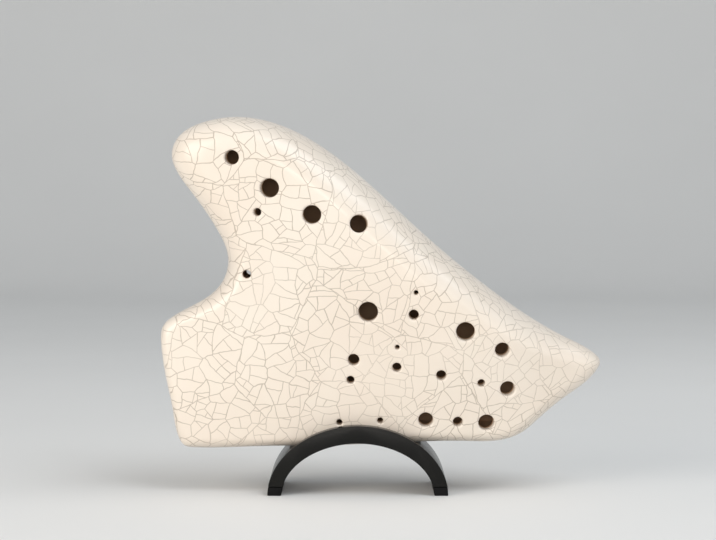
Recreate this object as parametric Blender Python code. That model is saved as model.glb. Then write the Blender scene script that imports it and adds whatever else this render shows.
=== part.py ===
"""Triple ocarina standing in its display arch.

The ocarina is a ceramic body made of two pressed half shells, closed over two
chamber walls, three windway blocks and three labium blades, with a sleeve for a
neck cord.  The arch is a moulded stand with a slot through its crown and a
rubber pad under each foot.

Metres, +Z up, +X towards the tail, -Y towards the finger holes.  The origin is
on the table, under the middle of the whole piece.
"""

import math

import bmesh
import bpy
import numpy as np
from mathutils import Matrix
from mathutils.geometry import delaunay_2d_cdt

# Ocarina body. Heights in RIM, GAUGES, walls and holes count from its lowest rim point.
SEAT_HEIGHT = 0.0197
WALL = 0.0045
PARTING_GAP = 0.0003
FIT_GAP = 0.0003
INNER_ROUNDOVER = 0.0015

# Rim: x, height, edge roundover and its fullness, from the mouthpiece's lower corner up
# over the lobe. A fullness of 2 rounds the edge as an ellipse, and less leaves a slope.
RIM = [
    (-0.0880, 0.0003, 0.0050, 2.2), (-0.0926, 0.0013, 0.0045, 2.2), (-0.0952, 0.0050, 0.0045, 2.2),
    (-0.0981, 0.0185, 0.0040, 2.2), (-0.1007, 0.0310, 0.0040, 2.2), (-0.1029, 0.0445, 0.0040, 2.2),
    (-0.1034, 0.0510, 0.0040, 2.2), (-0.1025, 0.0575, 0.0045, 2.2), (-0.0970, 0.0627, 0.0050, 2.2),
    (-0.0848, 0.0693, 0.0072, 2.1), (-0.0757, 0.0767, 0.0090, 2.0), (-0.0716, 0.0888, 0.0110, 2.0),
    (-0.0766, 0.1028, 0.0120, 2.0), (-0.0878, 0.1194, 0.0125, 2.0), (-0.0953, 0.1300, 0.0130, 2.0),
    (-0.0979, 0.1382, 0.0130, 2.0), (-0.0945, 0.1468, 0.0130, 2.0), (-0.0830, 0.1534, 0.0135, 2.0),
    (-0.0668, 0.1559, 0.0140, 2.0), (-0.0474, 0.1522, 0.0155, 1.9), (-0.0258, 0.1408, 0.0178, 1.8),
    (-0.0044, 0.1237, 0.0185, 1.8), (0.0202, 0.1011, 0.0182, 1.8), (0.0504, 0.0761, 0.0170, 1.8),
    (0.0729, 0.0604, 0.0155, 1.8), (0.0884, 0.0518, 0.0125, 1.8), (0.0995, 0.0458, 0.0090, 1.9),
    (0.1035, 0.0412, 0.0065, 2.0), (0.1012, 0.0360, 0.0060, 2.2), (0.0874, 0.0245, 0.0060, 2.2),
    (0.0750, 0.0143, 0.0060, 2.2), (0.0660, 0.0070, 0.0055, 2.2), (0.0585, 0.0042, 0.0050, 2.2),
    (0.0400, 0.0034, 0.0050, 2.2), (-0.0120, 0.0018, 0.0050, 2.2), (-0.0600, 0.0008, 0.0050, 2.2),
]
RIM_STEPS = 3

# Body's thickness at some places: x, height and half thickness, before the edge is rounded.
GAUGES = [
    (-0.0780, 0.1330, 0.0185), (-0.0450, 0.1200, 0.0230), (-0.0520, 0.0820, 0.0190),
    (0.0000, 0.1040, 0.0242), (0.0300, 0.0760, 0.0240), (0.0600, 0.0550, 0.0208),
    (0.0590, 0.0300, 0.0158), (0.0930, 0.0420, 0.0112), (-0.0980, 0.0550, 0.0095),
    (-0.0920, 0.0080, 0.0095), (-0.0580, 0.0330, 0.0140), (-0.0100, 0.0080, 0.0135),
    (0.0540, 0.0100, 0.0122), (0.0000, 0.0480, 0.0195),
]

# Finger holes: x, height and diameter, one list for each chamber.
MAIN_HOLES = [
    (-0.0687, 0.1368, 0.0066), (-0.0513, 0.1228, 0.0087), (-0.0570, 0.1117, 0.0036),
    (-0.0318, 0.1106, 0.0085), (-0.0101, 0.1066, 0.0082), (0.0389, 0.0567, 0.0086),
    (0.0561, 0.0480, 0.0067), (0.0466, 0.0323, 0.0035), (0.0590, 0.0295, 0.0069),
    (0.0493, 0.0134, 0.0074), (0.0359, 0.0139, 0.0045),
]
SECOND_HOLES = [
    (-0.0060, 0.0658, 0.0090), (0.0160, 0.0748, 0.0021), (0.0150, 0.0645, 0.0046),
    (0.0075, 0.0493, 0.0021), (0.0073, 0.0398, 0.0042), (0.0279, 0.0361, 0.0046),
    (0.0209, 0.0149, 0.0068),
]
THIRD_HOLES = [
    (-0.0127, 0.0433, 0.0053), (-0.0141, 0.0338, 0.0036), (-0.0003, 0.0145, 0.0028),
    (-0.0193, 0.0136, 0.0028),
]
THUMB_HOLES = [(-0.0400, 0.1300, 0.0095), (0.0440, 0.0640, 0.0090)]
CORD_HOLE = (-0.0620, 0.0830, 0.0039)
CORD_SLEEVE_WALL = 0.0015

# Chamber walls: the middle of each, from the mouthpiece to the bottom of the body.
CHAMBER_WALL = 0.0032
UPPER_WALL_TURNS = [
    (-0.0390, 0.0445), (-0.0220, 0.0680), (0.0010, 0.0830), (0.0200, 0.0805),
    (0.0300, 0.0660), (0.0320, 0.0530), (0.0375, 0.0370), (0.0375, 0.0270),
    (0.0300, 0.0160), (0.0295, 0.0080),
]
LOWER_WALL_TURNS = [
    (-0.0380, 0.0270), (-0.0280, 0.0420), (-0.0160, 0.0500), (-0.0050, 0.0460),
    (-0.0020, 0.0370), (-0.0005, 0.0270), (0.0080, 0.0180), (0.0095, 0.0080),
]
WALL_STEPS = 3

# Windways, one above the other in the mouthpiece, each with its window and blade.
CHAMBERS = ("third", "second", "main")
WINDWAY_PITCH = 0.0173
WINDWAY_WIDTH = 0.0120
WINDWAY_HEIGHT = 0.0018
WINDWAY_EXIT_X = -0.0600
WINDOW_LENGTH = 0.0060
LABIUM_LENGTH = 0.0100
LABIUM_EDGE = 0.0003

# Display arch: superelliptic outside and inside curves on a middle line at ARCH_X. Its crown
# stands higher than the body's lowest point by CROWN_HOLD.
ARCH_X = -0.0107
ARCH_OUTER_HALF_WIDTH = 0.0420
ARCH_INNER_HALF_WIDTH = 0.0355
CROWN_HOLD = 0.0128
CROWN_THICKNESS = 0.0081
ARCH_OUTER_HEIGHT = SEAT_HEIGHT + CROWN_HOLD
ARCH_INNER_HEIGHT = ARCH_OUTER_HEIGHT - CROWN_THICKNESS
ARCH_SQUARENESS = 1.95
ARCH_RIM_THICKNESS = 0.0055
ARCH_STEPS = 36
SLOT_SIDE_GAP = 0.0007
FOOT_PAD_HEIGHT = 0.0040

# Mesh fineness: rows of points inside a rim, and the lattice between them.
OUTER_ROWS = [0.0010, 0.0030, 0.0065, 0.0110]
INNER_ROWS = [0.0012, 0.0040]
LATTICE = 0.0090
HOLE_SIDES = 14

GLAZE = (0.84, 0.80, 0.74)
BARE_CLAY = (0.20, 0.13, 0.09)
BLACK_PLASTIC = (0.012, 0.013, 0.014)
BLACK_RUBBER = (0.02, 0.02, 0.02)


def clear_scene():
    for old in list(bpy.data.objects):
        bpy.data.objects.remove(old, do_unlink=True)


def make_material(name, colour, roughness):
    material = bpy.data.materials.new(name)
    material.use_nodes = True
    shader = material.node_tree.nodes["Principled BSDF"]
    shader.inputs["Base Color"].default_value = (*colour, 1.0)
    shader.inputs["Roughness"].default_value = roughness
    shader.inputs["Metallic"].default_value = 0.0
    return material


def add_object(name, bm, material=None, crease=40.0):
    """Put a closed bmesh into the scene with its faces pointing out."""
    bmesh.ops.recalc_face_normals(bm, faces=bm.faces)
    mesh = bpy.data.meshes.new(name)
    bm.to_mesh(mesh)
    bm.free()
    mesh.shade_smooth()
    mesh.set_sharp_from_angle(angle=math.radians(crease))
    obj = bpy.data.objects.new(name, mesh)
    bpy.context.scene.collection.objects.link(obj)
    if material is None:
        obj.hide_render = True
        obj.display_type = "WIRE"
    else:
        mesh.materials.append(material)
    return obj


def boolean(obj, tool, operation):
    modifier = obj.modifiers.new(tool.name, "BOOLEAN")
    modifier.operation = operation
    modifier.solver = "EXACT"
    modifier.object = tool


def smooth_curve(knots, steps, closed):
    """Cubic spline through the knots, measured along x and height.

    Its second derivatives solve one linear system; a closed curve wraps round,
    and an open one has straight ends.
    """
    knots = np.array(knots, float)
    if closed:
        knots = np.vstack([knots, knots[:1]])
    count = len(knots)
    length = np.linalg.norm(np.diff(knots[:, :2], axis=0), axis=1)
    slope = np.diff(knots, axis=0) / length[:, None]
    system = np.zeros((count, count))
    target = np.zeros_like(knots)
    for i in range(1, count - 1):
        system[i, i - 1:i + 2] = length[i - 1], 2 * (length[i - 1] + length[i]), length[i]
        target[i] = 6 * (slope[i] - slope[i - 1])
    if closed:
        system[0, [0, 1]] += 2 * length[0], length[0]
        system[0, [-1, -2]] += 2 * length[-1], length[-1]
        target[0] = 6 * (slope[0] - slope[-1])
        system[-1, 0], system[-1, -1] = 1, -1
    else:
        system[0, 0] = system[-1, -1] = 1
    bend = np.linalg.solve(system, target)
    along = np.linspace(0, 1, steps, endpoint=False)[None, :, None]
    h = length[:, None, None]
    left, right = bend[:-1, None], bend[1:, None]
    points = (knots[:-1, None] * (1 - along) + knots[1:, None] * along
              + h ** 2 / 6 * (((1 - along) ** 3 - (1 - along)) * left + (along ** 3 - along) * right))
    points = points.reshape(-1, knots.shape[1])
    return points if closed else np.vstack([points, knots[-1:]])


def side_normals(points, closed):
    """Unit normals of a path, to the left of the way it runs."""
    if closed:
        along = np.roll(points, -1, axis=0) - np.roll(points, 1, axis=0)
    else:
        along = np.gradient(points, axis=0)
    along /= np.linalg.norm(along, axis=1)[:, None]
    return np.stack([-along[:, 1], along[:, 0]], axis=1)


def to_segments(points, rim):
    """For each point and rim segment: place along it, distance off it, segment length."""
    start = rim[:, :2]
    step = np.roll(start, -1, axis=0) - start
    length = np.linalg.norm(step, axis=1)
    unit = step / length[:, None]
    offset = points[:, None] - start[None]
    along = (offset * unit[None]).sum(axis=2)
    off = offset[..., 0] * unit[:, 1] - offset[..., 1] * unit[:, 0]
    return along, off, length


def rim_distance(points, rim):
    along, off, length = to_segments(points, rim)
    beyond = along - np.clip(along, 0, length)
    return np.hypot(beyond, off).min(axis=1)


def inside_rim(points, rim):
    """Whether each point lies inside, by counting the rim crossings to its right."""
    x0, z0 = rim[:, 0], rim[:, 1]
    x1, z1 = np.roll(x0, -1), np.roll(z0, -1)
    x, z = points[:, :1], points[:, 1:]
    spans = (z0 > z) != (z1 > z)
    rise = np.where(z1 == z0, 1.0, z1 - z0)
    crossings = spans & (x < x0 + (z - z0) * (x1 - x0) / rise)
    return crossings.sum(axis=1) % 2 == 1


def inset_rim(rim, inset):
    """The rim moved in by the inset, without the points that a corner swallows."""
    inner = rim.copy()
    inner[:, :2] += side_normals(rim[:, :2], True) * inset
    inner = inner[rim_distance(inner[:, :2], rim) > inset * 0.98]
    inner[:, 2] = np.maximum(inner[:, 2] - inset, INNER_ROUNDOVER)
    return inner


def edge_depth(points, rim):
    """How deep each point lies inside the rim, and the rim's roundover and fullness there.

    The depth is (I / 2) ** -0.5, where I is the integral of 1 / r ** 3 round the
    rim.  Beside a straight rim it is the plain distance, and it has no crease in
    the middle of the body.  The rim's values are averaged with the same weights.
    A segment's share is (a / near - b / far) / off ** 2, with a and b the point's
    places along it from its two ends.  Each fraction is split as
    sign(a) * (1 - off ** 2 / (near * (near + |a|))), which keeps its accuracy for
    a point that is in line with the segment.
    """
    along, off, length = to_segments(points, rim)
    beyond = along - length
    tiny = 1e-9
    near = np.hypot(along, off) + tiny
    far = np.hypot(beyond, off) + tiny
    beside = (np.sign(along) - np.sign(beyond)) / (off ** 2 + tiny ** 2)
    past_near = np.sign(along) / (near * (near + np.abs(along)))
    past_far = np.sign(beyond) / (far * (far + np.abs(beyond)))
    weight = beside - past_near + past_far
    total = weight.sum(axis=1)
    values = (rim[:, 2:] + np.roll(rim[:, 2:], -1, axis=0)) / 2
    return (total / 2) ** -0.5, weight @ values / total[:, None]


def gauge_half_thickness(points):
    """Thin plate through the rows of GAUGES: the least bent surface that meets them."""
    readings = np.array(GAUGES)

    def bending(at):
        square = ((at[:, None] - readings[None, :, :2]) ** 2).sum(axis=2) + 1e-12
        return square * np.log(square)

    def plane(at):
        return np.hstack([np.ones((len(at), 1)), at])

    count = len(readings)
    system = np.zeros((count + 3, count + 3))
    system[:count, :count] = bending(readings[:, :2])
    system[:count, count:] = plane(readings[:, :2])
    system[count:, :count] = plane(readings[:, :2]).T
    weights = np.linalg.solve(system, np.append(readings[:, 2], np.zeros(3)))
    return bending(points) @ weights[:count] + plane(points) @ weights[count:]


def half_thickness(points, rim, inset):
    """Height of the body's surface over its middle plane, rounded off to 0 at the rim.

    With s the edge depth over the roundover, up to 1, and n the fullness, the
    rounding is the superellipse (1 - (1 - s) ** n) ** (1 / n).
    """
    depth, edge = edge_depth(points, rim)
    roundover, fullness = edge.T
    shallow = 1 - np.clip(depth / roundover, 0, 1)
    return (gauge_half_thickness(points) - inset) * (1 - shallow ** fullness) ** (1 / fullness)


def body_rim():
    return smooth_curve(RIM, RIM_STEPS, True)[::-1]


def sheet(rim, rows, inset):
    """Triangulate the area inside a rim; return points, triangles and surface heights."""
    rings = [rim[:, :2]] + [inset_rim(rim, row)[:, :2] for row in rows]
    low, high = rim[:, :2].min(axis=0), rim[:, :2].max(axis=0)
    columns = np.arange(low[0], high[0], LATTICE)
    lines = np.arange(low[1], high[1], LATTICE * math.sin(math.pi / 3))
    grid = np.array([(x + LATTICE / 2 * (k % 2), z) for k, z in enumerate(lines) for x in columns])
    keep = inside_rim(grid, rim)
    keep &= rim_distance(grid, rim) > rows[-1] + LATTICE / 2
    points = np.vstack(rings + [grid[keep]])
    count = len(rim)
    border = [(i, (i + 1) % count) for i in range(count)]
    _, _, triangles, _, _, _ = delaunay_2d_cdt([tuple(p) for p in points], border, [], 1, 1e-9)
    heights = half_thickness(points, rim, inset)
    heights[:count] = 0.0
    return points, triangles, heights


def add_sheet(bm, points, triangles, depths):
    """Add a sheet at the given depths along Y."""
    verts = [bm.verts.new((x, y, z)) for (x, z), y in zip(points, depths)]
    for triangle in triangles:
        bm.faces.new([verts[i] for i in triangle])
    return verts


def make_half_shell(name, side, material):
    """One half of the body: side -1 has the finger holes, side +1 the windows."""
    bm = bmesh.new()
    rim = body_rim()
    for outline, rows, inset in ((rim, OUTER_ROWS, 0.0), (inset_rim(rim, WALL), INNER_ROWS, WALL)):
        points, triangles, heights = sheet(outline, rows, inset)
        add_sheet(bm, points, triangles, side * (PARTING_GAP / 2 + heights))
    open_edges = [edge for edge in bm.edges if edge.is_boundary]
    bmesh.ops.triangle_fill(bm, use_beauty=True, edges=open_edges)
    return add_object(name, bm, material)


def make_cavity():
    """The hollow inside both shells, smaller by the fit gap: it trims what is inside.

    A triangle with all its corners on the rim has no thickness, and is left out.
    """
    inset = WALL + FIT_GAP
    rim = inset_rim(body_rim(), inset)
    points, triangles, heights = sheet(rim, INNER_ROWS, inset)
    triangles = [triangle for triangle in triangles if heights[triangle].max() > 0]
    bm = bmesh.new()
    add_sheet(bm, points, triangles, -heights)
    add_sheet(bm, points, triangles, heights)
    bmesh.ops.remove_doubles(bm, verts=bm.verts, dist=1e-7)
    return add_object("cavity_guide", bm)


def inner_height(x, height):
    """Half thickness of the hollow at one place."""
    return half_thickness(np.array([[x, height]]), inset_rim(body_rim(), WALL), WALL)[0]


def outer_height(x, height):
    """Half thickness of the body at one place."""
    return half_thickness(np.array([[x, height]]), body_rim(), 0.0)[0]


def add_prism(bm, corners, start, end, axis):
    """Extrude a flat outline along Y, from (x, z) corners, or along Z, from (x, y) corners."""
    if axis == "Y":
        verts = [bm.verts.new((a, start, b)) for a, b in corners]
        travel = (0, end - start, 0)
    else:
        verts = [bm.verts.new((a, b, start)) for a, b in corners]
        travel = (0, 0, end - start)
    face = bm.faces.new(verts)
    extruded = bmesh.ops.extrude_face_region(bm, geom=[face])
    moved = [item for item in extruded["geom"] if isinstance(item, bmesh.types.BMVert)]
    bmesh.ops.translate(bm, verts=moved, vec=travel)


def prism(name, corners, start, end, axis, material=None):
    bm = bmesh.new()
    add_prism(bm, corners, start, end, axis)
    return add_object(name, bm, material)


def circle(x, height, diameter):
    turn = np.arange(HOLE_SIDES) * 2 * math.pi / HOLE_SIDES
    return [(x + diameter / 2 * math.cos(a), height + diameter / 2 * math.sin(a)) for a in turn]


def past_body():
    """A distance from the middle plane that lies well outside the body."""
    return 2 * max(reading[2] for reading in GAUGES)


def make_drill(name, holes, side):
    """Round cutters through one half of the body."""
    bm = bmesh.new()
    for x, height, diameter in holes:
        add_prism(bm, circle(x, height, diameter), 0.0, side * past_body(), "Y")
    return add_object(name, bm)


def windway_middle(level):
    """Height of a windway's middle line: level 0 is the lowest."""
    floor = min(knot[1] for knot in RIM) + WALL + FIT_GAP
    return floor + WINDWAY_PITCH * (level + 0.5)


def box_corners(x0, x1, low, high):
    return [(x0, low), (x1, low), (x1, high), (x0, high)]


def mouth_x(height):
    """Where the rim crosses a height on the mouthpiece's side."""
    rim = body_rim()
    near = rim[np.abs(rim[:, 1] - height) < WINDWAY_PITCH]
    return near[:, 0].min()


def windway_floor(level):
    """Start and end of the windway's floor, as (x, y): it runs parallel to the roof."""
    height = windway_middle(level)
    start = mouth_x(height) + WALL + INNER_ROUNDOVER
    start_y = inner_height(start + WALL / 2, height) - WINDWAY_HEIGHT
    end_y = inner_height(WINDWAY_EXIT_X, height) - WINDWAY_HEIGHT
    return (start, start_y), (WINDWAY_EXIT_X, end_y)


def make_windway_block(name, level, cavity, material):
    """Solid clay block that fills the mouthpiece round one windway.

    The lowest one reaches down to the floor of the hollow.
    """
    height = windway_middle(level)
    half = (WINDWAY_PITCH - FIT_GAP) / 2
    reach = past_body()
    left = mouth_x(height) - WALL
    bottom = height - half - (WALL if level == 0 else 0.0)
    corners = box_corners(left, WINDWAY_EXIT_X, bottom, height + half)
    block = prism(name, corners, -reach, reach, "Y", material)
    boolean(block, cavity, "INTERSECT")
    (x0, y0), (x1, y1) = windway_floor(level)
    past = x1 + WALL
    end_y = y1 + (y1 - y0) / (x1 - x0) * WALL
    duct = [(left, y0), (x0, y0), (past, end_y), (past, reach), (left, reach)]
    low, high = height - WINDWAY_WIDTH / 2, height + WINDWAY_WIDTH / 2
    boolean(block, prism(name + "_duct", duct, low, high, "Z"), "DIFFERENCE")
    return block


def cut_windway_openings(shell, name, level):
    """Mouth slot through the side wall, and the window with the seat of its blade."""
    height = windway_middle(level)
    low, high = height - WINDWAY_WIDTH / 2, height + WINDWAY_WIDTH / 2
    (x0, y0), _ = windway_floor(level)
    slot = [(mouth_x(height) - WALL, y0), (x0, y0), (x0, y0 + WINDWAY_HEIGHT)]
    slot.append((mouth_x(height) - WALL, y0 + WINDWAY_HEIGHT))
    boolean(shell, prism(name + "_mouth_slot", slot, low, high, "Z"), "DIFFERENCE")
    reach = past_body()
    window_end = WINDWAY_EXIT_X + WINDOW_LENGTH + LABIUM_LENGTH
    window = box_corners(WINDWAY_EXIT_X, window_end, low, high)
    start = inner_height(window_end, height) / 2
    boolean(shell, prism(name + "_window", window, start, reach, "Y"), "DIFFERENCE")


def make_labium(name, level, material):
    """Wedge whose thin edge stands in the middle of the air stream."""
    height = windway_middle(level)
    edge_x = WINDWAY_EXIT_X + WINDOW_LENGTH
    back_x = edge_x + LABIUM_LENGTH - FIT_GAP
    edge_y = inner_height(edge_x, height) - WINDWAY_HEIGHT / 2
    corners = [
        (edge_x, edge_y), (back_x, inner_height(back_x, height)),
        (back_x, outer_height(back_x, height)), (edge_x, edge_y + LABIUM_EDGE),
    ]
    half = WINDWAY_WIDTH / 2 - FIT_GAP
    return prism(name, corners, height - half, height + half, "Z", material)


def make_chamber_wall(name, seam, turns, cavity, mouthpiece, material):
    """Upright wall along a path that starts on the seam between two windway blocks."""
    past_blades = WINDWAY_EXIT_X + WINDOW_LENGTH + LABIUM_LENGTH
    start = [(WINDWAY_EXIT_X - WALL, seam), (WINDWAY_EXIT_X + WALL, seam), (past_blades, seam)]
    lowest = min(knot[1] for knot in RIM) - WALL
    path = smooth_curve(start + turns + [(turns[-1][0], lowest)], WALL_STEPS, False)
    side = side_normals(path, False) * CHAMBER_WALL / 2
    corners = np.vstack([path + side, (path - side)[::-1]])
    reach = past_body()
    wall = prism(name, [tuple(corner) for corner in corners], -reach, reach, "Y", material)
    boolean(wall, cavity, "INTERSECT")
    boolean(wall, mouthpiece, "DIFFERENCE")
    return wall


def make_cord_sleeve(name, cavity, material):
    x, height, bore = CORD_HOLE
    reach = past_body()
    outside = circle(x, height, bore + 2 * CORD_SLEEVE_WALL)
    sleeve = prism(name, outside, -reach, reach, "Y", material)
    boolean(sleeve, cavity, "INTERSECT")
    drill = prism("cord_sleeve_drill", circle(x, height, bore), -reach, reach, "Y")
    boolean(sleeve, drill, "DIFFERENCE")
    return sleeve


def arch_curve(half_width, height, floor):
    """Superellipse |x / a| ** n + (z / b) ** n = 1 from one foot over to the other."""
    power = 2 / ARCH_SQUARENESS
    start = math.asin((floor / height) ** (1 / power))
    turn = np.linspace(start, math.pi - start, ARCH_STEPS + 1)
    across = np.sign(np.cos(turn)) * np.abs(np.cos(turn)) ** power * half_width
    return [(ARCH_X + a, height * math.sin(t) ** power) for a, t in zip(across, turn)]


def slot_half_width():
    """Half thickness of the body where it stands inside the arch, with its side gap."""
    rim = body_rim()
    points, _, heights = sheet(rim, OUTER_ROWS, 0.0)
    held = points[:, 1] + SEAT_HEIGHT < ARCH_OUTER_HEIGHT
    held &= np.abs(points[:, 0] - ARCH_X) < ARCH_OUTER_HALF_WIDTH
    return heights[held].max() + SLOT_SIDE_GAP


def make_stand_arch(name, material):
    """Arch with a slot through its crown; the slot follows the body's rim with a fit gap."""
    half_depth = slot_half_width() + ARCH_RIM_THICKNESS
    outside = arch_curve(ARCH_OUTER_HALF_WIDTH, ARCH_OUTER_HEIGHT, FOOT_PAD_HEIGHT + FIT_GAP)
    inside = arch_curve(ARCH_INNER_HALF_WIDTH, ARCH_INNER_HEIGHT, FOOT_PAD_HEIGHT + FIT_GAP)
    arch = prism(name, outside + inside[::-1], -half_depth, half_depth, "Y", material)
    rim = body_rim()
    slot = rim[:, :2] - side_normals(rim[:, :2], True) * FIT_GAP + (0, SEAT_HEIGHT)
    corners = [tuple(corner) for corner in slot]
    cutter = prism("body_slot", corners, -slot_half_width(), slot_half_width(), "Y")
    boolean(arch, cutter, "DIFFERENCE")
    return arch


def make_foot_pad(name, side, material):
    """Rubber pad with the section of the leg above it: side -1 is the left foot."""
    half_depth = slot_half_width() + ARCH_RIM_THICKNESS
    section = []
    for half_width, height in ((ARCH_OUTER_HALF_WIDTH, ARCH_OUTER_HEIGHT),
                               (ARCH_INNER_HALF_WIDTH, ARCH_INNER_HEIGHT)):
        top = abs(arch_curve(half_width, height, FOOT_PAD_HEIGHT)[0][0] - ARCH_X)
        section.append((ARCH_X + side * half_width, ARCH_X + side * top))
    (outer_low, outer_top), (inner_low, inner_top) = section
    corners = [(outer_low, 0.0), (outer_top, FOOT_PAD_HEIGHT), (inner_top, FOOT_PAD_HEIGHT), (inner_low, 0.0)]
    return prism(name, corners, -half_depth, half_depth, "Y", material)


def make_ocarina():
    """All pieces of the ocarina, in its own frame."""
    glaze = make_material("crackle_glaze", GLAZE, 0.22)
    clay = make_material("bare_clay", BARE_CLAY, 0.85)
    cavity = make_cavity()
    front = make_half_shell("front_shell", -1, glaze)
    back = make_half_shell("back_shell", 1, glaze)
    finger_holes = MAIN_HOLES + SECOND_HOLES + THIRD_HOLES + [CORD_HOLE]
    boolean(front, make_drill("finger_hole_drill", finger_holes, -1), "DIFFERENCE")
    boolean(back, make_drill("thumb_hole_drill", THUMB_HOLES + [CORD_HOLE], 1), "DIFFERENCE")
    pieces = [front, back, make_cord_sleeve("cord_hole_sleeve", cavity, clay)]
    for level, chamber in enumerate(CHAMBERS):
        cut_windway_openings(back, chamber, level)
        pieces.append(make_windway_block("windway_block_" + chamber, level, cavity, clay))
        pieces.append(make_labium("labium_" + chamber, level, glaze))
    reach = past_body()
    lowest, highest = windway_middle(-1), windway_middle(len(CHAMBERS))
    leftmost = min(knot[0] for knot in RIM) - WALL
    zone = box_corners(leftmost, WINDWAY_EXIT_X + FIT_GAP, lowest, highest)
    mouthpiece = prism("mouthpiece_guide", zone, -reach, reach, "Y")
    for name, level, turns in (("chamber_wall_lower", 0, LOWER_WALL_TURNS),
                               ("chamber_wall_upper", 1, UPPER_WALL_TURNS)):
        seam = (windway_middle(level) + windway_middle(level + 1)) / 2
        pieces.append(make_chamber_wall(name, seam, turns, cavity, mouthpiece, clay))
    return pieces


def place_on_seat(pieces):
    """Hang the ocarina on one empty, which stands on the axis along which it lifts off."""
    lift = bpy.data.objects.new("ocarina_lift", None)
    bpy.context.scene.collection.objects.link(lift)
    lift.location = (ARCH_X, 0.0, SEAT_HEIGHT)
    for piece in pieces:
        piece.parent = lift
        piece.matrix_parent_inverse = Matrix.Translation((-ARCH_X, 0.0, 0.0))


def build():
    clear_scene()
    pieces = make_ocarina()
    guides = [obj for obj in bpy.data.objects if obj.hide_render]
    place_on_seat(pieces + guides)
    plastic = make_material("satin_black_plastic", BLACK_PLASTIC, 0.35)
    rubber = make_material("black_rubber", BLACK_RUBBER, 0.8)
    make_stand_arch("stand_arch", plastic)
    make_foot_pad("foot_pad_left", -1, rubber)
    make_foot_pad("foot_pad_right", 1, rubber)


build()
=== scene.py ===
"""Looks of the triple ocarina and its display arch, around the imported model."""

import math

import bmesh
import bpy
import numpy as np
from mathutils import Matrix, Vector
from mathutils.geometry import delaunay_2d_cdt


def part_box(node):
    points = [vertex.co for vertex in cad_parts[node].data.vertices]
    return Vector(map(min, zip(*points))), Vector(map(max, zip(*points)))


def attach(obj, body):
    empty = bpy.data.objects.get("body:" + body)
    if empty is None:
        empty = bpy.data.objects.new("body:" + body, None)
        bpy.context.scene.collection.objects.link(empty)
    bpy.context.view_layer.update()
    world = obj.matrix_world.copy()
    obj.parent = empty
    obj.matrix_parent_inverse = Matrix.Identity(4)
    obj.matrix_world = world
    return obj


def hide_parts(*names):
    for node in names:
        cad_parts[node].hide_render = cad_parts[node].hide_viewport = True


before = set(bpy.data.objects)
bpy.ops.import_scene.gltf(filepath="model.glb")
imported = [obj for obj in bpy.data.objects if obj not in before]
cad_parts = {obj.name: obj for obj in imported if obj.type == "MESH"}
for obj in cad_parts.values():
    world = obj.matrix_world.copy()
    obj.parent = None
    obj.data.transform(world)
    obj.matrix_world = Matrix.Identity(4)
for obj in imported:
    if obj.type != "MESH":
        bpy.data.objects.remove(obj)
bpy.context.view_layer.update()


# Camera.
# A long lens just above the table, looking a little down on the ocarina's front.
CAMERA_PLACE = (-0.0106, -0.890, 0.153)
CAMERA_PITCH = math.radians(-3.17)
CAMERA_LENS = 95.2

camera_data = bpy.data.cameras.new("camera")
camera_data.lens = CAMERA_LENS
camera_data.sensor_width = 36.0
camera_data.clip_start = 0.01
camera = bpy.data.objects.new("camera", camera_data)
camera.location = CAMERA_PLACE
camera.rotation_euler = (math.pi / 2 + CAMERA_PITCH, 0.0, 0.0)
bpy.context.scene.collection.objects.link(camera)
bpy.context.scene.camera = camera


# Studio.
# A pale sweep of paper, a large soft light from the left and one from above, a weaker one from
# the right and one behind the camera, which reaches into the holes.
class Wire:
    """A socket that turns arithmetic in Python into Math nodes."""

    def __init__(self, tree, socket=None):
        self.tree = tree
        self.socket = socket

    def node(self, kind, settings, inputs, output=0):
        """Add a node, set it up, feed its inputs and return one of its outputs."""
        node = self.tree.nodes.new(kind)
        for name, value in settings.items():
            if name == "stops":
                ramp = node.color_ramp.elements
                while len(ramp) < len(value):
                    ramp.new(0.5)
                for element, (position, colour) in zip(ramp, value):
                    element.position = position
                    element.color = (*colour, 1.0)
            else:
                setattr(node, name, value)
        for name, value in inputs.items():
            if isinstance(value, Wire):
                self.tree.links.new(value.socket, node.inputs[name])
            else:
                node.inputs[name].default_value = value
        return Wire(self.tree, node.outputs[output])

    def math(self, operation, first, second):
        return self.node("ShaderNodeMath", {"operation": operation}, {0: first, 1: second})

    def __add__(self, other):
        return self.math("ADD", self, other)

    def __sub__(self, other):
        return self.math("SUBTRACT", self, other)

    def __rsub__(self, other):
        return self.math("SUBTRACT", other, self)

    def __mul__(self, other):
        return self.math("MULTIPLY", self, other)

    __radd__ = __add__
    __rmul__ = __mul__

    def step(self, low, high):
        """0 below low, 1 above high, with a soft passage between."""
        settings = {"interpolation_type": "SMOOTHSTEP"}
        inputs = {"Value": self, "From Min": low, "From Max": high, "To Min": 0.0, "To Max": 1.0}
        return self.node("ShaderNodeMapRange", settings, inputs)

    def mix(self, first, second):
        """Colour that passes from first to second as this factor rises from 0 to 1."""
        return self.node("ShaderNodeMix", {"data_type": "RGBA"}, {0: self, 6: first, 7: second}, 2)


def new_material(name, constants):
    """Principled material; returns it, its shader node and a Wire for its node tree."""
    material = bpy.data.materials.new(name)
    material.use_nodes = True
    shader = material.node_tree.nodes["Principled BSDF"]
    for socket, value in constants.items():
        shader.inputs[socket].default_value = value
    return material, shader, Wire(material.node_tree)


def feed(shader, socket, wire):
    wire.tree.links.new(wire.socket, shader.inputs[socket])


def object_place(wire):
    return wire.node("ShaderNodeTexCoord", {}, {}, "Object")


def noise(wire, place, scale, detail, output=0):
    settings = {"noise_dimensions": "3D"}
    return wire.node("ShaderNodeTexNoise", settings, {"Vector": place, "Scale": scale, "Detail": detail}, output)


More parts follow.
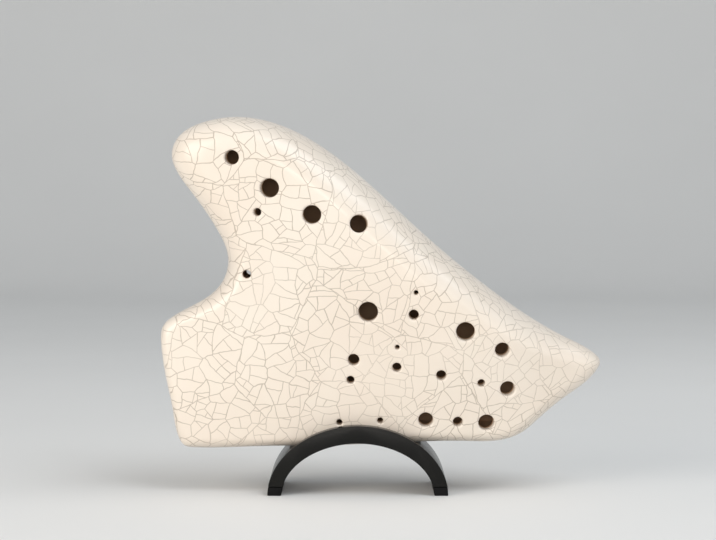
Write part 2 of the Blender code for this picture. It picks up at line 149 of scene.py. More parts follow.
def paper_material():
    material, shader, wire = new_material("pale_paper", {"Roughness": 0.75})
    grain = noise(wire, object_place(wire), 6.0, 3.0)
    feed(shader, "Base Color", grain.mix((0.78, 0.77, 0.75, 1), (0.82, 0.81, 0.79, 1)))
    return material


def paper_sweep():
    """Floor that turns up into a backdrop: a line, a quarter circle and a line, carried along X."""
    radius, back, front, half, top = 0.6, 1.3, -2.5, 4.0, 3.0
    turn = np.linspace(0, math.pi / 2, 25)
    y = np.concatenate([[front], back + radius * np.sin(turn), [back + radius]])
    z = np.concatenate([[0.0], radius * (1 - np.cos(turn)), [top]])
    left = np.stack([np.full_like(y, -half), y, z], axis=1)
    right = left + (2 * half, 0, 0)
    row = np.arange(len(y) - 1)
    faces = np.stack([row, row + len(y), row + len(y) + 1, row + 1], axis=1)
    mesh = bpy.data.meshes.new("paper_sweep")
    mesh.from_pydata(np.vstack([left, right]).tolist(), [], faces.tolist())
    mesh.shade_smooth()
    mesh.materials.append(paper_material())
    sweep = bpy.data.objects.new("paper_sweep", mesh)
    bpy.context.scene.collection.objects.link(sweep)


def soft_light(name, place, aim, size, power, colour):
    data = bpy.data.lights.new(name, "AREA")
    data.color = colour
    data.shape = "RECTANGLE"
    data.size, data.size_y = size
    data.energy = power
    light = bpy.data.objects.new(name, data)
    light.location = place
    light.rotation_euler = (Vector(aim) - Vector(place)).to_track_quat("-Z", "Y").to_euler()
    bpy.context.scene.collection.objects.link(light)


paper_sweep()
OBJECT_MIDDLE = (0.0, 0.0, 0.09)
WARM, NEUTRAL, COOL = (1.0, 0.94, 0.87), (1.0, 0.98, 0.96), (0.92, 0.96, 1.0)
soft_light("key_light", (-1.05, -0.80, 0.45), OBJECT_MIDDLE, (0.9, 0.9), 10.5, WARM)
soft_light("top_light", (0.60, -0.35, 1.30), OBJECT_MIDDLE, (1.0, 0.8), 9.0, COOL)
soft_light("fill_light", (1.10, -1.00, 0.55), OBJECT_MIDDLE, (0.9, 0.9), 3.0, NEUTRAL)
soft_light("front_light", (-0.10, -1.60, 0.25), OBJECT_MIDDLE, (0.6, 0.4), 4.6, WARM)
world = bpy.data.worlds.new("studio")
world.use_nodes = True
world.node_tree.nodes["Background"].inputs["Color"].default_value = (0.88, 0.94, 1.0, 1.0)
world.node_tree.nodes["Background"].inputs["Strength"].default_value = 0.42
bpy.context.scene.world = world
bpy.context.scene.view_settings.view_transform = "Standard"


# Glazed body.
# The real body is two pressed clay shells luted at the rim, with finger holes drilled in the
# soft clay, dipped in a white glaze that crazed into a net of fine lines as it cooled.
# RIM's rows are x, height, edge roundover and its fullness; GAUGES' are x, height and half thickness.
WALL = 0.0045
INNER_ROUNDOVER = 0.0015
RIM = [
    (-0.0880, 0.0003, 0.0050, 2.2), (-0.0926, 0.0013, 0.0045, 2.2), (-0.0952, 0.0050, 0.0045, 2.2),
    (-0.0981, 0.0185, 0.0040, 2.2), (-0.1007, 0.0310, 0.0040, 2.2), (-0.1029, 0.0445, 0.0040, 2.2),
    (-0.1034, 0.0510, 0.0040, 2.2), (-0.1025, 0.0575, 0.0045, 2.2), (-0.0970, 0.0627, 0.0050, 2.2),
    (-0.0848, 0.0693, 0.0072, 2.1), (-0.0757, 0.0767, 0.0090, 2.0), (-0.0716, 0.0888, 0.0110, 2.0),
    (-0.0766, 0.1028, 0.0120, 2.0), (-0.0878, 0.1194, 0.0125, 2.0), (-0.0953, 0.1300, 0.0130, 2.0),
    (-0.0979, 0.1382, 0.0130, 2.0), (-0.0945, 0.1468, 0.0130, 2.0), (-0.0830, 0.1534, 0.0135, 2.0),
    (-0.0668, 0.1559, 0.0140, 2.0), (-0.0474, 0.1522, 0.0155, 1.9), (-0.0258, 0.1408, 0.0178, 1.8),
    (-0.0044, 0.1237, 0.0185, 1.8), (0.0202, 0.1011, 0.0182, 1.8), (0.0504, 0.0761, 0.0170, 1.8),
    (0.0729, 0.0604, 0.0155, 1.8), (0.0884, 0.0518, 0.0125, 1.8), (0.0995, 0.0458, 0.0090, 1.9),
    (0.1035, 0.0412, 0.0065, 2.0), (0.1012, 0.0360, 0.0060, 2.2), (0.0874, 0.0245, 0.0060, 2.2),
    (0.0750, 0.0143, 0.0060, 2.2), (0.0660, 0.0070, 0.0055, 2.2), (0.0585, 0.0042, 0.0050, 2.2),
    (0.0400, 0.0034, 0.0050, 2.2), (-0.0120, 0.0018, 0.0050, 2.2), (-0.0600, 0.0008, 0.0050, 2.2),
]
GAUGES = [
    (-0.0780, 0.1330, 0.0185), (-0.0450, 0.1200, 0.0230), (-0.0520, 0.0820, 0.0190),
    (0.0000, 0.1040, 0.0242), (0.0300, 0.0760, 0.0240), (0.0600, 0.0550, 0.0208),
    (0.0590, 0.0300, 0.0158), (0.0930, 0.0420, 0.0112), (-0.0980, 0.0550, 0.0095),
    (-0.0920, 0.0080, 0.0095), (-0.0580, 0.0330, 0.0140), (-0.0100, 0.0080, 0.0135),
    (0.0540, 0.0100, 0.0122), (0.0000, 0.0480, 0.0195),
]
FINGER_HOLES = [
    (-0.0687, 0.1368, 0.0066), (-0.0513, 0.1228, 0.0087), (-0.0570, 0.1117, 0.0036),
    (-0.0318, 0.1106, 0.0085), (-0.0101, 0.1066, 0.0082), (0.0389, 0.0567, 0.0086),
    (0.0561, 0.0480, 0.0067), (0.0466, 0.0323, 0.0035), (0.0590, 0.0295, 0.0069),
    (0.0493, 0.0134, 0.0074), (0.0359, 0.0139, 0.0045),
    (-0.0060, 0.0658, 0.0090), (0.0160, 0.0748, 0.0021), (0.0150, 0.0645, 0.0046),
    (0.0075, 0.0493, 0.0021), (0.0073, 0.0398, 0.0042), (0.0279, 0.0361, 0.0046),
    (0.0209, 0.0149, 0.0068),
    (-0.0127, 0.0433, 0.0053), (-0.0141, 0.0338, 0.0036), (-0.0003, 0.0145, 0.0028),
    (-0.0193, 0.0136, 0.0028),
]
THUMB_HOLES = [(-0.0400, 0.1300, 0.0095), (0.0440, 0.0640, 0.0090)]
CORD_HOLE = (-0.0620, 0.0830, 0.0039)
WINDWAY_PITCH = 0.0173
WINDWAY_WIDTH = 0.0120
WINDWAY_HEIGHT = 0.0018
WINDWAY_EXIT_X = -0.0600
WINDOW_LENGTH = 0.0060
LABIUM_LENGTH = 0.0100
FIT_GAP = 0.0003
RIM_SPACING = 0.0011
SKIN_SPACING = 0.0014
INNER_SPACING = 0.0040
HOLE_LIP = 0.0009
HOLE_LEAN = 1.4
GLAZED_BANDS = 3
LONG_CRACK_SPACING = 0.034
CELL_SIZE = 0.0096
CRACK_HALF_WIDTH = 0.00017
GLAZE_DRIFT = np.array([0.46, -0.19])
WINDOW_LIP = 0.0003


def rim_curve():
    """Closed cubic spline through RIM, resampled at even steps; its second derivatives
    solve one cyclic linear system. Its columns are RIM's."""
    knots = np.array(RIM)[::-1]
    following = np.roll(knots, -1, axis=0)
    h = np.linalg.norm(following[:, :2] - knots[:, :2], axis=1)
    slope = (following - knots) / h[:, None]
    count = len(knots)
    here = np.arange(count)
    before = (here - 1) % count
    system = np.zeros((count, count))
    system[here, before] += h[before]
    system[here, here] += 2 * (h[before] + h)
    system[here, (here + 1) % count] += h
    bend = np.linalg.solve(system, 6 * (slope - slope[before]))
    t = np.linspace(0, 1, 40, endpoint=False)[None, :, None]
    h = h[:, None, None]
    points = (knots[:, None] * (1 - t) + following[:, None] * t
              + h ** 2 / 6 * (((1 - t) ** 3 - (1 - t)) * bend[:, None]
                              + (t ** 3 - t) * np.roll(bend, -1, axis=0)[:, None]))
    points = points.reshape(-1, knots.shape[1])
    loop = np.vstack([points, points[:1]])
    length = np.append(0, np.cumsum(np.linalg.norm(np.diff(loop[:, :2], axis=0), axis=1)))
    even = np.linspace(0, length[-1], int(length[-1] / RIM_SPACING), endpoint=False)
    return np.stack([np.interp(even, length, loop[:, k]) for k in range(loop.shape[1])], axis=1)


def inward(loop):
    """Unit normals of a closed loop, to the left of the way it runs."""
    along = np.roll(loop[:, :2], -1, axis=0) - np.roll(loop[:, :2], 1, axis=0)
    along /= np.linalg.norm(along, axis=1)[:, None]
    return np.stack([-along[:, 1], along[:, 0]], axis=1)


def in_chunks(points, work):
    """Run work on slices of the points and join what each part of it returns."""
    parts = [work(points[start:start + 3000]) for start in range(0, max(1, len(points)), 3000)]
    return [np.concatenate(column) for column in zip(*parts)]


def segment_frame(points, loop):
    """Place along each segment of the loop, distance off it, and the segments' lengths."""
    start = loop[:, :2]
    step = np.roll(start, -1, axis=0) - start
    length = np.linalg.norm(step, axis=1)
    unit = step / length[:, None]
    offset = points[:, None] - start[None]
    along = offset[..., 0] * unit[:, 0] + offset[..., 1] * unit[:, 1]
    off = offset[..., 0] * unit[:, 1] - offset[..., 1] * unit[:, 0]
    return along, off, length


def loop_distance(points, loop):
    def work(some):
        along, off, length = segment_frame(some, loop)
        return (np.hypot(along - np.clip(along, 0, length), off).min(axis=1),)
    return in_chunks(points, work)[0]


def inside(points, loop):
    """Whether each point lies inside the loop, by the loop's crossings to its right."""
    x0, z0 = loop[:, 0], loop[:, 1]
    x1, z1 = np.roll(x0, -1), np.roll(z0, -1)
    rise = np.where(z1 == z0, 1.0, z1 - z0)

    def work(some):
        x, z = some[:, :1], some[:, 1:]
        spans = (z0 > z) != (z1 > z)
        return ((spans & (x < x0 + (z - z0) * (x1 - x0) / rise)).sum(axis=1) % 2 == 1,)
    return in_chunks(points, work)[0]


def edge_depth(points, rim):
    """Depth inside the rim, (I / 2) ** -0.5 with I the integral of 1 / r ** 3 round it,
    and the rim's roundover and fullness near it, averaged with the same weights.

    A segment's share is (a / near - b / far) / off ** 2, each fraction of which is split as
    sign(a) * (1 - off ** 2 / (near * (near + |a|))), so that nothing cancels in line with it."""
    values = (rim[:, 2:] + np.roll(rim[:, 2:], -1, axis=0)) / 2
    tiny = 1e-9

    def work(some):
        along, off, length = segment_frame(some, rim)
        beyond = along - length
        near = np.hypot(along, off) + tiny
        far = np.hypot(beyond, off) + tiny
        beside = (np.sign(along) - np.sign(beyond)) / (off ** 2 + tiny ** 2)
        past_near = np.sign(along) / (near * (near + np.abs(along)))
        past_far = np.sign(beyond) / (far * (far + np.abs(beyond)))
        weight = beside - past_near + past_far
        total = weight.sum(axis=1)
        return (total / 2) ** -0.5, weight @ values / total[:, None]
    return in_chunks(points, work)


def plate_height(points):
    """Thin plate spline through the half thicknesses in GAUGES."""
    readings = np.array(GAUGES)

    def bending(at):
        square = ((at[:, None] - readings[None, :, :2]) ** 2).sum(axis=2) + 1e-12
        return square * np.log(square)

    def plane(at):
        return np.hstack([np.ones((len(at), 1)), at])

    count = len(readings)
    system = np.zeros((count + 3, count + 3))
    system[:count, :count] = bending(readings[:, :2])
    system[:count, count:] = plane(readings[:, :2])
    system[count:, :count] = plane(readings[:, :2]).T
    weights = np.linalg.solve(system, np.append(readings[:, 2], np.zeros(3)))
    return bending(points) @ weights[:count] + plane(points) @ weights[count:]


def surface_height(points, rim, inset):
    """Half thickness at the points: the plate, rounded off by a superellipse at the rim."""
    depth, edge = edge_depth(points, rim)
    roundover, fullness = edge.T
    shallow = 1 - np.clip(depth / roundover, 0, 1)
    return (plate_height(points) - inset) * (1 - shallow ** fullness) ** (1 / fullness)


def inset_rim(rim, inset):
    """The rim moved in, without the points that a corner swallows."""
    inner = rim.copy()
    inner[:, :2] += inward(rim) * inset
    inner = inner[loop_distance(inner[:, :2], rim) > inset * 0.98]
    inner[:, 2] = np.maximum(inner[:, 2] - inset, INNER_ROUNDOVER)
    return inner


rim = rim_curve()
inner_rim = inset_rim(rim, WALL)
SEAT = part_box("front_shell")[0][2] - rim[:, 1].min()


def outer_height(points):
    return surface_height(points, rim, 0.0)


def inner_height(points):
    return surface_height(points, inner_rim, WALL)


def hole_loop(x, height, diameter):
    """Circle round a hole, counter-clockwise."""
    count = max(20, int(math.pi * diameter / 0.0005))
    turn = np.arange(count) * 2 * math.pi / count
    return np.stack([x + diameter / 2 * np.cos(turn), height + diameter / 2 * np.sin(turn)], axis=1)


def window_loop(x0, x1, height):
    """Rectangle with small round corners: half circles' quarters at its four corners."""
    corner, steps = 0.0008, np.linspace(0, math.pi / 2, 5)
    half = WINDWAY_WIDTH / 2 - corner
    middle = [(x1 - corner, half), (x0 + corner, half), (x0 + corner, -half), (x1 - corner, -half)]
    arcs = []
    for k, (cx, dz) in enumerate(middle):
        turn = steps + k * math.pi / 2
        arcs.append(np.stack([cx + corner * np.cos(turn), height + dz + corner * np.sin(turn)], axis=1))
    loop = np.vstack(arcs)
    step = np.roll(loop, -1, axis=0) - loop
    pieces = []
    for start, move in zip(loop, step):
        count = max(1, int(np.linalg.norm(move) / 0.001))
        pieces.append(start + np.arange(count)[:, None] / count * move)
    return np.vstack(pieces)


class Skin:
    """Points and faces of one closed surface, gathered before it becomes a mesh."""

    def __init__(self):
        self.points, self.places, self.faces, self.paint, self.count = [], [], [], [], 0

    def add_points(self, plane, heights, side, place=None):
        """Add points given in the plane and by height over it; return their numbers.

        place is where they lie on the glaze, laid out flat: as seen from the front, if not given.
        It drifts from the front to the back, so that the halves' cracks aren't mirror images.
        """
        self.points.append(np.stack([plane[:, 0], side * heights, plane[:, 1] + SEAT], axis=1))
        flat = plane if place is None else place
        self.places.append(flat + side * heights[:, None] * GLAZE_DRIFT)
        numbers = np.arange(self.count, self.count + len(plane))
        self.count += len(plane)
        return numbers

    def add_faces(self, corners, paint):
        self.faces += corners.tolist()
        self.paint.append(np.full(len(corners), paint))

    def add_rows(self, rows, paint):
        """Closed bands of quads between rows that have equally many points."""
        for first, second in zip(rows, rows[1:]):
            quads = np.stack([first, np.roll(first, -1), np.roll(second, -1), second], axis=1)
            self.add_faces(quads, paint)

    def make(self, name, materials):
        mesh = bpy.data.meshes.new(name)
        mesh.from_pydata(np.vstack(self.points).tolist(), [], self.faces)
        mesh.polygons.foreach_set("material_index", np.concatenate(self.paint))
        corners = np.zeros(len(mesh.loops), int)
        mesh.loops.foreach_get("vertex_index", corners)
        mesh.uv_layers.new(name="glaze").uv.foreach_set("vector", np.vstack(self.places)[corners].ravel())
        bm = bmesh.new()
        bm.from_mesh(mesh)
        bmesh.ops.recalc_face_normals(bm, faces=bm.faces)
        bm.to_mesh(mesh)
        bm.free()
        mesh.shade_smooth()
        mesh.set_sharp_from_angle(angle=math.radians(50))
        for material in materials:
            mesh.materials.append(material)
        piece = bpy.data.objects.new(name, mesh)
        bpy.context.scene.collection.objects.link(piece)
        return piece


def fill(border, holes, spacing):
    """Triangles between a border loop and hole loops, over a triangular lattice.

    Returns the lattice points used and the triangles, numbered as border, holes, lattice.
    """
    low, high = border.min(axis=0), border.max(axis=0)
    x = np.arange(low[0], high[0], spacing)
    z = np.arange(low[1], high[1], spacing * math.sin(math.pi / 3))
    grid = np.stack(np.meshgrid(x, z), axis=2)
    grid[1::2, :, 0] += spacing / 2
    grid = grid.reshape(-1, 2)
    grid = grid[inside(grid, border)]
    grid = grid[loop_distance(grid, border) > 0.6 * spacing]
    for loop in holes:
        clear = loop_distance(grid, loop) > 0.6 * spacing
        grid = grid[clear & ~inside(grid, loop)]
    loops = [border] + holes
    edges, start = [], 0
    for loop in loops:
        number = np.arange(len(loop))
        edges += np.stack([number + start, (number + 1) % len(loop) + start], axis=1).tolist()
        start += len(loop)
    points = np.vstack(loops + [grid])
    result = delaunay_2d_cdt([Vector(p) for p in points.tolist()], edges, [], 1, 1e-10)
    origin = np.array([first[0] for first in result[3]])
    triangles = origin[np.array(result[2])]
    middle = points[triangles].mean(axis=1)
    keep = np.ones(len(triangles), bool)
    for loop in holes:
        keep &= ~inside(middle, loop)
    return grid, triangles[keep]


def slope(plane, step=0.0004):
    """Fall of the outer surface towards +x and up, by central differences."""
    across, up = np.array([step, 0.0]), np.array([0.0, step])
    return np.stack([outer_height(plane - move) - outer_height(plane + move) for move in (across, up)],
                    axis=1) / (2 * step)


def sweep_out(rows, heights):
    """Where rows of points lie on the glaze laid out flat: the innermost row as seen from the
    front, and each row further out by its distance over the surface."""
    places = [rows[-1]]
    for k in range(len(rows) - 2, -1, -1):
        length = np.hypot(np.linalg.norm(rows[k] - rows[k + 1], axis=1), heights[k] - heights[k + 1])
        places.insert(0, places[0] - inward(rim) * length[:, None])
    return places


def make_shell_skin(name, side, openings, materials):
    """One half of the body as a closed wall.

    openings holds (loop, lip, lean): each is rounded by a quarter circle of radius lip at the
    outer surface, and runs to the hollow: square to the middle plane where lean is 0, square to
    the surface where it is 1, and leaning further over above that. The roundover at the rim
    follows rows at the angles phi, set in by roundover * (1 - cos(phi) ** (2 / fullness)).
    """
    skin = Skin()
    phi = np.radians([4, 10, 18, 28, 38, 48])
    planes, heights = [rim[:, :2]], [np.zeros(len(rim))]
    for angle in phi:
        inset = rim[:, 2] * (1 - np.cos(angle) ** (2 / rim[:, 3]))
        planes.append(rim[:, :2] + inward(rim) * inset[:, None])
        heights.append(outer_height(planes[-1]))
    places = sweep_out(planes, heights)
    rows = [skin.add_points(*row, side, place) for *row, place in zip(planes, heights, places)]
    skin.add_rows(rows, 0)

    mouths, floors = [], []
    for loop, lip, lean in openings:
        fall = slope(loop.mean(axis=0)[None])[0] * lean
        out = -inward(loop)
        rings = []
        for angle in np.linspace(0, math.pi / 2, 6):
            ring = loop + out * lip * (1 - math.sin(angle))
            drop = lip * (1 - math.cos(angle))
            rings.append(skin.add_points(ring - fall * drop, outer_height(ring) - drop, side))
        top = outer_height(loop) - lip
        bottom = inner_height(loop - fall * WALL)
        walls = [rings[-1]]
        for share in (0.2, 0.4, 0.6, 0.8, 1.0):
            level = top + (bottom - top) * share
            plane = loop - fall * (lip + (top - level))[:, None]
            walls.append(skin.add_points(plane, level, side, loop - out * (top - level)[:, None]))
        skin.add_rows(rings, 0)
        skin.add_rows(walls[:GLAZED_BANDS + 1], 0)
        skin.add_rows(walls[GLAZED_BANDS:], 1)
        mouths.append((rings[0], loop + out * lip))
        floors.append((walls[-1], plane))

    grid, triangles = fill(planes[-1], [ring for _, ring in mouths], SKIN_SPACING)
    lattice = skin.add_points(grid, outer_height(grid), side)
    numbers = np.concatenate([rows[-1]] + [first for first, _ in mouths] + [lattice])
    skin.add_faces(numbers[triangles], 0)

    low = skin.add_points(inner_rim[:, :2], np.zeros(len(inner_rim)), side)
    grid, triangles = fill(inner_rim[:, :2], [ring for _, ring in floors], INNER_SPACING)
    lattice = skin.add_points(grid, inner_height(grid), side)
    numbers = np.concatenate([low] + [first for first, _ in floors] + [lattice])
    skin.add_faces(numbers[triangles], 1)

    _, triangles = fill(rim[:, :2], [inner_rim[:, :2]], 1.0)
    skin.add_faces(np.concatenate([rows[0], low])[triangles], 1)
    return skin.make(name, materials)


def glaze_material():
    """Creamy glaze, crazed in three orders of cracks.

    Long cracks are the edges between large scattered cells. Inside each, short cracks are the
    edges between small cells, drawn afresh so that they end on the long ones. Last, every small
    cell is split by a straight crack through its point, at a random turn, and by a branch that
    leaves the middle of that crack to one side.
    """
    constants = {"Coat Weight": 0.35, "Coat Roughness": 0.16, "Specular IOR Level": 0.4}
    material, shader, wire = new_material("crackle_glaze", constants)
    place = object_place(wire)
    laid_out = wire.node("ShaderNodeUVMap", {"uv_map": "glaze"}, {})

    def vector(operation, first, second, third=None):
        inputs = {0: first, 1: second} if third is None else {0: first, 1: second, 2: third}
        return wire.node("ShaderNodeVectorMath", {"operation": operation}, inputs)

    def wander(at, scale, reach):
        centred = vector("SUBTRACT", noise(wire, place, scale, 2.0, 1), (0.5, 0.5, 0.5))
        return vector("MULTIPLY_ADD", centred, (reach, reach, reach), at)

    at = wander(wander(laid_out, 28.0, 0.010), 150.0, 0.0022)

    def cells(at, size):
        """Distance to the nearest edge between cells, a random colour and the point of each."""
        inputs = {"Vector": at, "Scale": 1 / size, "Randomness": 0.8}
        settings = {"voronoi_dimensions": "2D", "feature": "DISTANCE_TO_EDGE"}
        edge = wire.node("ShaderNodeTexVoronoi", settings, inputs) * size
        settings = {"voronoi_dimensions": "2D", "feature": "F1"}
        colour = wire.node("ShaderNodeTexVoronoi", settings, inputs, 1)
        return edge, colour, Wire(wire.tree, colour.socket.node.outputs["Position"])

    def crack(distance):
        return 1 - distance.step(0.4 * CRACK_HALF_WIDTH, 1.6 * CRACK_HALF_WIDTH)

    far_edge, chance, _ = cells(at, LONG_CRACK_SPACING)
    at = vector("MULTIPLY_ADD", chance, (3.0, 3.0, 3.0), at)
    near_edge, tint, point = cells(at, CELL_SIZE)
    turn = wire.node("ShaderNodeSeparateColor", {}, {0: tint}, 0) * (2 * math.pi)
    away = wire.node("ShaderNodeVectorRotate", {"rotation_type": "Z_AXIS"},
                     {"Vector": vector("SUBTRACT", at, point), "Angle": turn})
    across = wire.node("ShaderNodeSeparateXYZ", {}, {0: away}, 0)
    along = wire.node("ShaderNodeSeparateXYZ", {}, {0: away}, 1)
    branch = crack(along.math("ABSOLUTE", along, 0.0)) * across.step(0.0, CRACK_HALF_WIDTH)
    lines = crack(far_edge.math("MINIMUM", far_edge, near_edge))
    lines = lines.math("MAXIMUM", lines, crack(across.math("ABSOLUTE", across, 0.0)))
    lines = lines.math("MAXIMUM", lines, branch)
    fresh = noise(wire, place, 22.0, 2.0).step(0.32, 0.60)
    lines = lines * (fresh * 0.45 + 0.55)
    cloud = noise(wire, place, 16.0, 4.0).step(0.3, 0.7)
    base = cloud.mix((0.770, 0.680, 0.580, 1), (0.810, 0.735, 0.640, 1))
    warm = wire.node("ShaderNodeSeparateColor", {}, {0: tint}, 1)
    base = (warm * 0.25).mix(base, (0.790, 0.680, 0.585, 1))
    feed(shader, "Base Color", (lines * 0.90).mix(base, (0.44, 0.375, 0.305, 1)))
    grain = noise(wire, place, 320.0, 2.0)
    feed(shader, "Roughness", grain * 0.08 + 0.32)
    swell = noise(wire, place, 45.0, 2.0)
    height = swell * 0.30 + grain * 0.015 - lines * 0.08
    feed(shader, "Normal", wire.node("ShaderNodeBump", {}, {"Strength": 0.35, "Distance": 0.0006, "Height": height}))
    return material


def clay_material():
    """Bare fired clay: brown, grainy and dull."""
    material, shader, wire = new_material("bare_clay", {"Roughness": 0.9, "Specular IOR Level": 0.2})
    place = object_place(wire)
    cloud = noise(wire, place, 120.0, 5.0)
    feed(shader, "Base Color", cloud.mix((0.430, 0.260, 0.150, 1), (0.560, 0.380, 0.250, 1)))
    grain = noise(wire, place, 900.0, 3.0)
    feed(shader, "Normal", wire.node("ShaderNodeBump", {}, {"Strength": 0.4, "Distance": 0.0002, "Height": grain}))
    return material


glaze = glaze_material()
clay = clay_material()


def windway_middle(level):
    return min(knot[1] for knot in RIM) + WALL + FIT_GAP + WINDWAY_PITCH * (level + 0.5)


def mouth_x(height):
    near = rim[np.abs(rim[:, 1] - height) < WINDWAY_PITCH]
    return near[:, 0].min()


def at(x, height, surface):
    return float(surface(np.array([[x, height]]))[0])


def prism_object(name, corners, start, end, axis, paint=0):
    """Flat outline carried along Y, from (x, z) corners, or along Z, from (x, y) corners."""
    flat = np.array(corners, float)
    ends = []
    for level in (start, end):
        fixed = np.full(len(flat), level)
        order = (flat[:, 0], fixed, flat[:, 1]) if axis == "Y" else (flat[:, 0], flat[:, 1], fixed)
        ends.append(np.stack(order, axis=1))
    count = len(flat)
    number = np.arange(count)
    following = (number + 1) % count
    sides = np.stack([number, following, following + count, number + count], axis=1)
    mesh = bpy.data.meshes.new(name)
    faces = [number[::-1].tolist(), (number + count).tolist()] + sides.tolist()
    mesh.from_pydata(np.vstack(ends).tolist(), [], faces)
    bm = bmesh.new()
    bm.from_mesh(mesh)
    bmesh.ops.recalc_face_normals(bm, faces=bm.faces)
    bm.to_mesh(mesh)
    bm.free()
    mesh.polygons.foreach_set("material_index", np.full(len(mesh.polygons), paint))
    piece = bpy.data.objects.new(name, mesh)
    bpy.context.scene.collection.objects.link(piece)
    return piece


def bake_modifiers(piece, tools):
    """Give the piece its evaluated mesh, and take away its modifiers and the tools."""
    graph = bpy.context.evaluated_depsgraph_get()
    mesh = bpy.data.meshes.new_from_object(piece.evaluated_get(graph))
    piece.modifiers.clear()
    piece.data = mesh
    for tool in tools:
        bpy.data.objects.remove(tool, do_unlink=True)


def cut(piece, tools):
    for tool in tools:
        modifier = piece.modifiers.new(tool.name, "BOOLEAN")
        modifier.operation = "DIFFERENCE"
        modifier.solver = "EXACT"
        modifier.object = tool
    bake_modifiers(piece, tools)
    piece.data.shade_smooth()
    piece.data.set_sharp_from_angle(angle=math.radians(50))


openings = [(hole_loop(*hole), HOLE_LIP, HOLE_LEAN) for hole in FINGER_HOLES]
openings.append((hole_loop(*CORD_HOLE), HOLE_LIP, 0.0))
front = make_shell_skin("glazed_front", -1, openings, [glaze, clay])
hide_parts("front_shell")
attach(front, "ocarina")

openings = [(hole_loop(*hole), HOLE_LIP, HOLE_LEAN) for hole in THUMB_HOLES]
openings.append((hole_loop(*CORD_HOLE), HOLE_LIP, 0.0))
window_end = WINDWAY_EXIT_X + WINDOW_LENGTH + LABIUM_LENGTH
openings += [(window_loop(WINDWAY_EXIT_X, window_end, windway_middle(level)), WINDOW_LIP, 0.0)
             for level in range(3)]
back = make_shell_skin("glazed_back", 1, openings, [glaze, clay])
mouth_slots = []
for level in range(3):
    height = windway_middle(level)
    left = mouth_x(height)
    start = left + WALL + INNER_ROUNDOVER
    floor = at(start + WALL / 2, height, inner_height) - WINDWAY_HEIGHT
    roof = floor + WINDWAY_HEIGHT
    corners = [(left - WALL, floor), (start, floor), (start, roof), (left - WALL, roof)]
    low, high = (height + SEAT - WINDWAY_WIDTH / 2, height + SEAT + WINDWAY_WIDTH / 2)
    mouth_slots.append(prism_object("mouth_slot_%d" % level, corners, low, high, "Z", 1))
cut(back, mouth_slots)
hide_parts("back_shell")
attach(back, "ocarina")


# Labium blades.
# Each is a wedge of the same glazed clay, cut to a thin edge that splits the air from its windway.
BLADE_EDGE = 0.0003
BLADE_SOFTENING = 0.00012


def lay_glaze(mesh):
    """Lay the glaze over a small piece as the back half has it."""
    corners = np.zeros(len(mesh.loops), int)
    mesh.loops.foreach_get("vertex_index", corners)
    points = np.array([vertex.co for vertex in mesh.vertices])
    places = points[:, [0, 2]] - (0, SEAT) + points[:, 1:2] * GLAZE_DRIFT
    mesh.uv_layers.new(name="glaze").uv.foreach_set("vector", places[corners].ravel())


for level, chamber in enumerate(("third", "second", "main")):
    height = windway_middle(level)
    edge_x = WINDWAY_EXIT_X + WINDOW_LENGTH
    edge_y = at(edge_x, height, inner_height) - WINDWAY_HEIGHT / 2
    back_x = window_end
    corners = [(edge_x, edge_y), (back_x, at(back_x, height, inner_height)),
               (back_x, at(back_x, height, outer_height) - WINDOW_LIP), (edge_x, edge_y + BLADE_EDGE)]
    half = WINDWAY_WIDTH / 2
    blade = prism_object("blade_" + chamber, corners, height + SEAT - half, height + SEAT + half, "Z")
    bevel = blade.modifiers.new("softening", "BEVEL")
    bevel.width = BLADE_SOFTENING
    bevel.segments = 2
    bake_modifiers(blade, [])
    lay_glaze(blade.data)
    blade.data.materials.append(glaze)
    blade.data.shade_smooth()
    blade.data.set_sharp_from_angle(angle=math.radians(40))
    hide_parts("labium_" + chamber)
    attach(blade, "ocarina")


# Inner pieces.
# Chamber walls, windway blocks and the cord sleeve are bare clay, seen only through the holes.
for name in ("chamber_wall_upper", "chamber_wall_lower", "windway_block_main", "windway_block_second",
             "windway_block_third", "cord_hole_sleeve"):
    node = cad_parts[name]
    node.data.materials.clear()
    node.data.materials.append(clay)


# Display arch.
# One moulding in satin black plastic, with softened edges and a slot that holds the ocarina's rim.
ARCH_X = -0.0107
ARCH_OUTER_HALF_WIDTH = 0.0420
ARCH_OUTER_HEIGHT = 0.0325
ARCH_INNER_HALF_WIDTH = 0.0355
ARCH_INNER_HEIGHT = 0.0244
ARCH_SQUARENESS = 1.95
ARCH_RIM_THICKNESS = 0.0055
FOOT_PAD_HEIGHT = 0.0040
ARCH_EDGE = 0.0016
arch_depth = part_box("stand_arch")[1][1]
slot_depth = arch_depth - ARCH_RIM_THICKNESS


def plastic_material():
    """Satin black plastic with a fine moulded texture and a little dust."""
    constants = {"Specular IOR Level": 0.18}
    material, shader, wire = new_material("satin_black_plastic", constants)
    place = object_place(wire)
    cloud = noise(wire, place, 40.0, 3.0)
    feed(shader, "Base Color", cloud.mix((0.003, 0.003, 0.0025, 1), (0.006, 0.006, 0.005, 1)))
    grain = noise(wire, place, 1400.0, 2.0)
    feed(shader, "Roughness", cloud * 0.08 + 0.20)
    feed(shader, "Normal", wire.node("ShaderNodeBump", {}, {"Strength": 0.12, "Distance": 0.0002, "Height": grain}))
    return material


def arch_curve(half_width, height, floor):
    """Superellipse |x / a| ** n + (z / b) ** n = 1, from one foot over to the other."""
    power = 2 / ARCH_SQUARENESS
    start = math.asin((floor / height) ** (1 / power))
    turn = np.linspace(start, math.pi - start, 129)
    across = np.sign(np.cos(turn)) * np.abs(np.cos(turn)) ** power * half_width
    return np.stack([ARCH_X + across, height * np.sin(turn) ** power], axis=1)


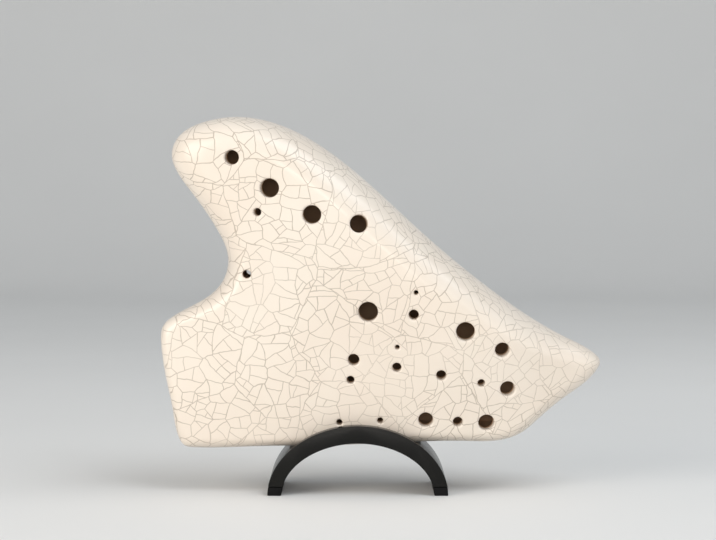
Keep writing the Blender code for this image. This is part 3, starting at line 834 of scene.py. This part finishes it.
outside = arch_curve(ARCH_OUTER_HALF_WIDTH, ARCH_OUTER_HEIGHT, FOOT_PAD_HEIGHT + FIT_GAP)
underside = arch_curve(ARCH_INNER_HALF_WIDTH, ARCH_INNER_HEIGHT, FOOT_PAD_HEIGHT + FIT_GAP)
arch = prism_object("display_arch", np.vstack([outside, underside[::-1]]), -arch_depth, arch_depth, "Y")
slot_outline = rim[::3, :2] - inward(rim)[::3] * FIT_GAP + (0, SEAT)
slot_tool = prism_object("slot_tool", slot_outline, -slot_depth, slot_depth, "Y")
cut(arch, [slot_tool])
bevel = arch.modifiers.new("edges", "BEVEL")
bevel.width = ARCH_EDGE
bevel.segments = 6
bevel.limit_method = "ANGLE"
bevel.angle_limit = math.radians(40)
bake_modifiers(arch, [])
arch.data.materials.clear()
arch.data.materials.append(plastic_material())
arch.data.shade_smooth()
arch.data.set_sharp_from_angle(angle=math.radians(35))
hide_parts("stand_arch")
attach(arch, "stand")


# Foot pads.
# A strip of black rubber is glued under each leg, with its edges rounded by moulding.
PAD_EDGE = 0.0006


def rubber_material():
    material, shader, wire = new_material("black_rubber", {"Specular IOR Level": 0.1})
    place = object_place(wire)
    cloud = noise(wire, place, 200.0, 4.0)
    feed(shader, "Base Color", cloud.mix((0.004, 0.004, 0.004, 1), (0.010, 0.010, 0.010, 1)))
    feed(shader, "Roughness", cloud * 0.15 + 0.70)
    grain = noise(wire, place, 1800.0, 2.0)
    feed(shader, "Normal", wire.node("ShaderNodeBump", {}, {"Strength": 0.3, "Distance": 0.0002, "Height": grain}))
    return material


rubber = rubber_material()
for name, end, side in (("left", -1, -1), ("right", 0, 1)):
    outer_top = arch_curve(ARCH_OUTER_HALF_WIDTH, ARCH_OUTER_HEIGHT, FOOT_PAD_HEIGHT)[end][0]
    inner_top = arch_curve(ARCH_INNER_HALF_WIDTH, ARCH_INNER_HEIGHT, FOOT_PAD_HEIGHT)[end][0]
    corners = [(ARCH_X + side * ARCH_OUTER_HALF_WIDTH, 0.0), (outer_top, FOOT_PAD_HEIGHT),
               (inner_top, FOOT_PAD_HEIGHT), (ARCH_X + side * ARCH_INNER_HALF_WIDTH, 0.0)]
    pad = prism_object("rubber_pad_" + name, corners, -arch_depth, arch_depth, "Y")
    bevel = pad.modifiers.new("edges", "BEVEL")
    bevel.width = PAD_EDGE
    bevel.segments = 3
    bake_modifiers(pad, [])
    pad.data.materials.append(rubber)
    pad.data.shade_smooth()
    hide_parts("foot_pad_" + name)
    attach(pad, "stand")
